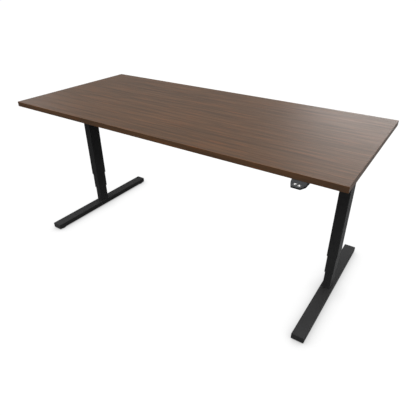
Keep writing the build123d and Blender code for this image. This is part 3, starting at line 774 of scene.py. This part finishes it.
class DeskStudio(bpy.types.PropertyGroup):
    """Floor, lamps and sky."""

    sky: FloatProperty(
        name="Sky level",
        description="Even light from all round",
        default=0.68,
    )
    horizon: FloatProperty(
        name="Horizon level",
        description="Light from low down, as a share of the sky level",
        subtype="FACTOR",
        default=0.15,
    )
    overhead: FloatProperty(
        name="Overhead lamp",
        description="Power of the soft lamp above",
        unit="POWER",
        default=50.0,
    )
    back: FloatProperty(
        name="Back lamp",
        description="Power of the soft lamp behind the desk's right end",
        unit="POWER",
        default=115.0,
    )
    side: FloatProperty(
        name="Side lamp",
        description="Power of the soft lamp beyond the desk's left end",
        unit="POWER",
        default=9.0,
    )
    floor_glow: FloatProperty(
        name="Floor glow",
        description="Level of the floor's own white, which only close contact darkens",
        subtype="FACTOR",
        default=0.985,
    )
    contact_reach: FloatProperty(
        name="Contact shadow reach",
        description="How far the feet darken the floor beside them",
        unit="LENGTH",
        default=0.1,
    )
    contact_shade: FloatProperty(
        name="Contact shadow strength",
        description="How much the feet darken the floor beside them",
        subtype="FACTOR",
        default=0.71,
    )


class DeskSettings(bpy.types.PropertyGroup):
    """Everything a user would change."""

    wood: PointerProperty(type=DeskWood)
    metal: PointerProperty(type=DeskMetal)
    hardware: PointerProperty(type=DeskHardware)
    mouldings: PointerProperty(type=DeskMouldings)
    studio: PointerProperty(type=DeskStudio)


# ------------------------------------------------------------------- operators
class DESK_OT_worktop(bpy.types.Operator):
    """Give the board and its edge bands their walnut."""

    bl_idname = "desk.worktop"
    bl_label = "Worktop"

    def execute(self, context):
        wood = context.scene.desk.wood
        board = walnut("walnut_board", wood, shade=1.0, gloss=wood.top_gloss)
        give([nodes["desktop_board"]], board)
        # Painted light on the long bands: a brighter copy of the board's walnut.
        long_band = walnut("walnut_long_band_painted_light", wood, wood.band_painted_light, wood.band_gloss)
        give([nodes["long_edge_bands"]], long_band)
        # Painted shade on the end bands: a darker copy of the board's walnut.
        end_band = walnut("walnut_end_band_painted_shade", wood, wood.end_painted_shade, wood.end_gloss, lying=False)
        give([nodes["short_edge_bands"]], end_band)
        return {"FINISHED"}


class DESK_OT_frame(bpy.types.Operator):
    """Powder-coat the columns, feet, brackets and rails."""

    bl_idname = "desk.frame"
    bl_label = "Frame and feet"

    def execute(self, context):
        metal = context.scene.desk.metal
        coat = grained_finish(
            "black_powder_coat",
            metal.coat,
            variation=0.08,
            grain=1 / metal.coat_grain,
            rough=(0.46, 0.6),
            specular=0.015,
            depth=6e-5,
        )
        give(nodes_of_slot("black_frame"), coat)
        return {"FINISHED"}


class DESK_OT_drive(bpy.types.Operator):
    """Finish the gear cases, motors, bearings, spindles, nuts and sliding pads."""

    bl_idname = "desk.drive"
    bl_label = "Lifting drive"

    def execute(self, context):
        metal = context.scene.desk.metal
        cast = grained_finish(
            "cast_alloy",
            metal.alloy,
            variation=0.06,
            grain=900.0,
            rough=(0.42, 0.6),
            metallic=1.0,
            depth=4e-5,
        )
        give(nodes_of_slot("cast_alloy"), cast)
        motor = grained_finish(
            "motor_enamel",
            slot_colour("motor_black"),
            variation=0.06,
            grain=500.0,
            rough=(0.3, 0.42),
        )
        give(nodes_of_slot("motor_black"), motor)
        acetal = grained_finish(
            "white_acetal",
            slot_colour("white_acetal"),
            variation=0.03,
            grain=300.0,
            rough=(0.36, 0.48),
            depth=1e-5,
        )
        give(nodes_of_slot("white_acetal"), acetal)
        rolled = turned_finish(
            "rolled_steel", metal.steel, marks=(40.0, 40.0, 1800.0), rough=(0.22, 0.36)
        )
        give(nodes_of_slot("spindle_steel"), rolled)
        races = turned_finish(
            "bearing_steel",
            slot_colour("bearing_steel"),
            marks=(900.0, 900.0, 900.0),
            rough=(0.12, 0.2),
        )
        give(nodes_of_slot("bearing_steel"), races)
        return {"FINISHED"}


class DESK_OT_fasteners(bpy.types.Operator):
    """Zinc-plate the bolts and screws."""

    bl_idname = "desk.fasteners"
    bl_label = "Bolts and screws"

    def execute(self, context):
        metal = context.scene.desk.metal
        zinc = turned_finish(
            "zinc_plate", metal.zinc, marks=(700.0, 700.0, 700.0), rough=(0.26, 0.4)
        )
        give(nodes_of_slot("zinc_fastener"), zinc)
        return {"FINISHED"}


class DESK_OT_threads(bpy.types.Operator):
    """Cut the lifting threads on the four spindles."""

    bl_idname = "desk.threads"
    bl_label = "Spindle threads"

    def execute(self, context):
        hardware = context.scene.desk.hardware
        rolled = bpy.data.materials["rolled_steel"]
        tree = thread_tree(rolled)
        for side in SIDES:
            self.threaded(f"{side}_upper", hardware.upper_thread / 2, hardware, tree, rolled)
            self.threaded(f"{side}_lower", hardware.lower_thread / 2, hardware, tree, rolled)
        return {"FINISHED"}

    def threaded(self, name, radius, hardware, tree, material):
        """Turn a spindle's plain stretch down to its root and wind the ridges on it."""
        node, body = f"{name}_spindle", f"{name}_drive"
        on_thread = 5e-5
        root = radius - hardware.thread_depth
        centre = box_centre(node)
        mesh = nodes[node].data.copy()
        levels = []
        for vertex in mesh.vertices:
            arm = Vector((vertex.co.x - centre.x, vertex.co.y - centre.y, 0))
            if abs(arm.length - radius) < on_thread:
                vertex.co -= arm.normalized() * hardware.thread_depth
                levels.append(vertex.co.z)
        outward(mesh)
        smooth_rounds(mesh)
        core = bpy.data.objects.new(f"{name}_spindle_core", mesh)
        bpy.context.scene.collection.objects.link(core)
        give([core], material)
        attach(core, body)
        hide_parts(node)
        margin = hardware.thread_lead / hardware.thread_starts / 2
        sizes = {
            "Base": (centre.x, centre.y, min(levels) + margin),
            "Length": max(levels) - min(levels) - 2 * margin,
            "Root radius": root,
            "Depth": hardware.thread_depth,
            "Lead": hardware.thread_lead,
            "Starts": hardware.thread_starts,
            "Steps a turn": hardware.thread_steps,
        }
        grown_piece(f"{name}_thread", tree, sizes, body)


class DESK_OT_mouldings(bpy.types.Operator):
    """Finish the end caps, the control box and the rubber pads."""

    bl_idname = "desk.mouldings"
    bl_label = "Caps, control box and pads"

    def execute(self, context):
        black = context.scene.desk.mouldings.black
        textured = grained_finish(
            "black_moulding",
            black,
            variation=0.05,
            grain=1400.0,
            rough=(0.5, 0.62),
            specular=0.05,
        )
        give(nodes_of_slot("black_moulding"), textured)
        rubber = grained_finish(
            "pad_rubber",
            slot_colour("pad_rubber"),
            variation=0.1,
            grain=700.0,
            rough=(0.7, 0.85),
            specular=0.3,
        )
        give(nodes_of_slot("pad_rubber"), rubber)
        return {"FINISHED"}


class DESK_OT_pad_ribs(bpy.types.Operator):
    """Mould the grip ribs round the levelling pads."""

    bl_idname = "desk.pad_ribs"
    bl_label = "Pad grip ribs"

    def execute(self, context):
        hardware = context.scene.desk.hardware
        tree = rib_tree(bpy.data.materials["pad_rubber"])
        # A rib's thickness beside how far it stands out, and its height beside the pad's radius.
        thickness_ratio, height_share = 4, 0.12
        for side in SIDES:
            for end in ENDS:
                low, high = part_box(f"{side}_{end}_leveller")
                centre = (low + high) / 2
                pad_radius = (high.x - low.x) / 2
                thickness = thickness_ratio * hardware.rib_relief
                height = height_share * pad_radius
                sizes = {
                    "Centre": (centre.x, centre.y, low.z + height / 2),
                    "Radius": pad_radius + hardware.rib_relief - thickness / 2,
                    "Width": hardware.rib_width,
                    "Thickness": thickness,
                    "Height": height,
                    "Count": hardware.rib_count,
                }
                body = f"{side}_{end}_levelling_foot"
                grown_piece(f"{side}_{end}_pad_ribs", tree, sizes, body)
        return {"FINISHED"}


class DESK_OT_cover_screws(bpy.types.Operator):
    """Screw the control box's cover and the handset's shells together."""

    bl_idname = "desk.cover_screws"
    bl_label = "Cover screws"

    def execute(self, context):
        hardware = context.scene.desk.hardware
        tree = screw_tree(bpy.data.materials["zinc_plate"])
        low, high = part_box("control_box_cover")
        inset = 2 * hardware.cover_screw_inset
        span = (high.x - low.x - inset, high.y - low.y - inset, 0.0)
        self.rows("control_box", "control_box_cover", span, (2, 2), hardware.cover_screw, tree)
        low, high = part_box("handset_housing")
        span = ((high.x - low.x) / 2, 0.0, 0.0)
        self.rows("handset", "handset_housing", span, (2, 1), hardware.handset_screw, tree)
        return {"FINISHED"}

    def rows(self, name, node, span, counts, diameter, tree):
        """Screws in the underside of a housing, evenly about its middle."""
        # Height of a head beside its diameter, and how much of it stands out.
        flatness, proud_share = 0.34, 0.8
        low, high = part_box(node)
        centre = (low + high) / 2
        columns, rows = counts
        height = flatness * diameter
        sizes = {
            "Centre": (centre.x, centre.y, low.z - proud_share * height),
            "Span": span,
            "Columns": columns,
            "Rows": rows,
            "Head diameter": diameter,
            "Head height": height,
        }
        grown_piece(f"{name}_screws", tree, sizes, "desk")


class DESK_OT_handset(bpy.types.Operator):
    """Finish the handset's shells and keys, and print an arrow on each key."""

    bl_idname = "desk.handset"
    bl_label = "Handset"

    def execute(self, context):
        colours = context.scene.desk.mouldings
        moulded = {"variation": 0.04, "grain": 1500.0}
        matt, smooth = (0.42, 0.54), (0.36, 0.46)
        print_white = (0.93, 0.93, 0.93)
        shell = grained_finish(
            "handset_shell", colours.housing, rough=matt, specular=0.015, **moulded
        )
        give([nodes["handset_housing"]], shell)
        plate = grained_finish("handset_plate", colours.plate, rough=matt, specular=0.2, **moulded)
        give([nodes["handset_cover"]], plate)
        key = grained_finish("handset_key", colours.keys, rough=smooth, specular=0.3, **moulded)
        give(nodes_of_slot("button_grey"), key)
        ink = grained_finish(
            "white_print", print_white, variation=0.02, grain=900.0, rough=(0.4, 0.5)
        )
        for name, way in (("down", -1), ("up", 1)):
            self.print_arrow(name, way, colours, ink)
        return {"FINISHED"}

    def print_arrow(self, name, way, colours, ink):
        """Raised triangle in the middle of a key's top face."""
        same_level = 1e-5
        points = [vertex.co for vertex in nodes[f"{name}_button"].data.vertices]
        slope = key_normal()
        middle = box_centre(f"{name}_button")
        level = max(point.dot(slope) for point in points)
        crown = [point for point in points if point.dot(slope) > level - same_level]
        centre = sum(crown, Vector()) / len(crown)
        centre.x = middle.x
        sideways = Vector((colours.arrow_width / 2, 0, 0))
        ahead = Vector((1, 0, 0)).cross(slope) * (-way * colours.arrow_length / 2)

        def build(shape):
            corners = (centre + ahead, centre - ahead + sideways, centre - ahead - sideways)
            foot = [shape.verts.new(corner) for corner in corners]
            head = [shape.verts.new(corner + slope * colours.arrow_relief) for corner in corners]
            shape.faces.new(foot)
            shape.faces.new(head)
            for index in range(3):
                after = (index + 1) % 3
                shape.faces.new((foot[index], foot[after], head[after], head[index]))

        mesh_piece(f"{name}_arrow", build, ink, f"{name}_key")


class DESK_OT_studio(bpy.types.Operator):
    """Set the floor, the lamps, the sky and the camera."""

    bl_idname = "desk.studio"
    bl_label = "Studio"

    def execute(self, context):
        studio = context.scene.desk.studio
        self.floor(studio)
        self.sky(context.scene, studio)
        self.lamp(
            "overhead_lamp",
            place=(0.2, -0.4, 3.4),
            target=(0.0, 0.0, 0.8),
            width=3.0,
            height=3.0,
            power=studio.overhead,
        )
        back = self.lamp(
            "back_lamp",
            place=(0.9, 3.4, 1.7),
            target=(0.4, 0.2, 0.8),
            width=3.2,
            height=1.8,
            power=studio.back,
        )
        side = self.lamp(
            "side_lamp",
            place=(-3.2, 0.6, 1.5),
            target=(-0.8, -0.2, 0.8),
            width=1.4,
            height=1.4,
            power=studio.side,
        )
        for gleam in (back, side):
            gleam.visible_diffuse = False
        self.camera(context.scene)
        context.scene.view_settings.view_transform = "Standard"
        return {"FINISHED"}

    def shown(self, tree):
        """1 for rays that show the backdrop itself: straight, mirrored or through glass."""
        path = add_node(tree, "ShaderNodeLightPath").outputs
        bent = maths(tree, "MAXIMUM", path["Is Glossy Ray"], path["Is Transmission Ray"])
        return maths(tree, "MAXIMUM", path["Is Camera Ray"], bent)

    def floor(self, studio):
        """White floor that darkens only close to the feet."""
        reach = 60.0
        matt_grey = opaque((0.08, 0.08, 0.08))
        mesh = bpy.data.meshes.new("studio_floor")
        corners = [(-reach, -reach, 0), (reach, -reach, 0), (reach, reach, 0), (-reach, reach, 0)]
        mesh.from_pydata(corners, [], [(0, 1, 2, 3)])
        ground = bpy.data.objects.new("studio_floor", mesh)
        bpy.context.scene.collection.objects.link(ground)
        material = bpy.data.materials.new("white_floor")
        material.use_nodes = True
        tree = material.node_tree
        tree.nodes.clear()
        matt = add_node(tree, "ShaderNodeBsdfDiffuse", {"Color": matt_grey})
        contact = add_node(
            tree,
            "ShaderNodeAmbientOcclusion",
            {"Color": WHITE, "Distance": studio.contact_reach},
            samples=16,
        )
        softened = blend_colours(tree, studio.contact_shade, WHITE, contact.outputs["Color"])
        level = maths(tree, "MULTIPLY", self.shown(tree), studio.floor_glow)
        glow = add_node(tree, "ShaderNodeEmission", {"Color": softened, "Strength": level})
        both = add_node(
            tree, "ShaderNodeAddShader", {0: matt.outputs["BSDF"], 1: glow.outputs["Emission"]}
        )
        add_node(tree, "ShaderNodeOutputMaterial", {"Surface": both.outputs["Shader"]})
        mesh.materials.append(material)

    def sky(self, scene, studio):
        """Sky light that fades toward the horizon, seen as white."""
        fade_start, fade_end = 0.1, 0.6
        world = bpy.data.worlds.new("studio_sky")
        scene.world = world
        world.use_nodes = True
        tree = world.node_tree
        tree.nodes.clear()
        way = add_node(tree, "ShaderNodeTexCoord").outputs["Generated"]
        rise = add_node(tree, "ShaderNodeSeparateXYZ", {"Vector": way}).outputs["Z"]
        level = add_node(
            tree,
            "ShaderNodeMapRange",
            {
                "Value": rise,
                "From Min": fade_start,
                "From Max": fade_end,
                "To Min": studio.horizon * studio.sky,
                "To Max": studio.sky,
            },
        )
        soft = add_node(
            tree, "ShaderNodeBackground", {"Color": WHITE, "Strength": level.outputs["Result"]}
        )
        white = add_node(tree, "ShaderNodeBackground", {"Color": WHITE, "Strength": 1.0})
        mixed = add_node(
            tree,
            "ShaderNodeMixShader",
            {
                "Fac": self.shown(tree),
                1: soft.outputs["Background"],
                2: white.outputs["Background"],
            },
        )
        add_node(tree, "ShaderNodeOutputWorld", {"Surface": mixed.outputs["Shader"]})

    def lamp(self, name, place, target, width, height, power):
        """Soft rectangular lamp aimed at a point."""
        light = bpy.data.lights.new(name, "AREA")
        light.shape = "RECTANGLE"
        light.size = width
        light.size_y = height
        light.energy = power
        lamp = bpy.data.objects.new(name, light)
        bpy.context.scene.collection.objects.link(lamp)
        lamp.location = place
        aim = Vector(target) - Vector(place)
        lamp.rotation_euler = aim.to_track_quat("-Z", "Y").to_euler()
        lamp.visible_camera = False
        return lamp

    def camera(self, scene):
        """Camera in front of the desk's right end, above the worktop."""
        sensor_width, focal_length = 36.0, 33.8
        place = (1.1346, -1.582, 1.4102)
        turn, tilt, roll = radians(33.46), radians(31.21), radians(-0.1)
        lens = bpy.data.cameras.new("studio_camera")
        lens.sensor_width = sensor_width
        lens.lens = focal_length
        view = bpy.data.objects.new("studio_camera", lens)
        scene.collection.objects.link(view)
        view.location = place
        upright = Matrix.Rotation(turn, 4, "Z") @ Matrix.Rotation(pi / 2 - tilt, 4, "X")
        view.rotation_euler = (upright @ Matrix.Rotation(roll, 4, "Z")).to_euler()
        scene.camera = view


OPERATORS = (
    DESK_OT_worktop,
    DESK_OT_frame,
    DESK_OT_drive,
    DESK_OT_fasteners,
    DESK_OT_threads,
    DESK_OT_mouldings,
    DESK_OT_pad_ribs,
    DESK_OT_cover_screws,
    DESK_OT_handset,
    DESK_OT_studio,
)


class DESK_PT_dressing(bpy.types.Panel):
    """Sidebar panel that lists the desk's pieces."""

    bl_idname = "DESK_PT_dressing"
    bl_label = "Standing desk"
    bl_space_type = "VIEW_3D"
    bl_region_type = "UI"
    bl_category = "Desk"

    def draw(self, context):
        for operator in OPERATORS:
            self.layout.operator(operator.bl_idname)


GROUPS = (DeskWood, DeskMetal, DeskHardware, DeskMouldings, DeskStudio, DeskSettings)
CLASSES = GROUPS + OPERATORS + (DESK_PT_dressing,)


def register():
    for item in CLASSES:
        bpy.utils.register_class(item)
    bpy.types.Scene.desk = PointerProperty(type=DeskSettings)


def unregister():
    del bpy.types.Scene.desk
    for item in reversed(CLASSES):
        bpy.utils.unregister_class(item)


def main():
    register()
    for operator in OPERATORS:
        group, name = operator.bl_idname.split(".")
        getattr(getattr(bpy.ops, group), name)()


if __name__ == "__main__":
    main()
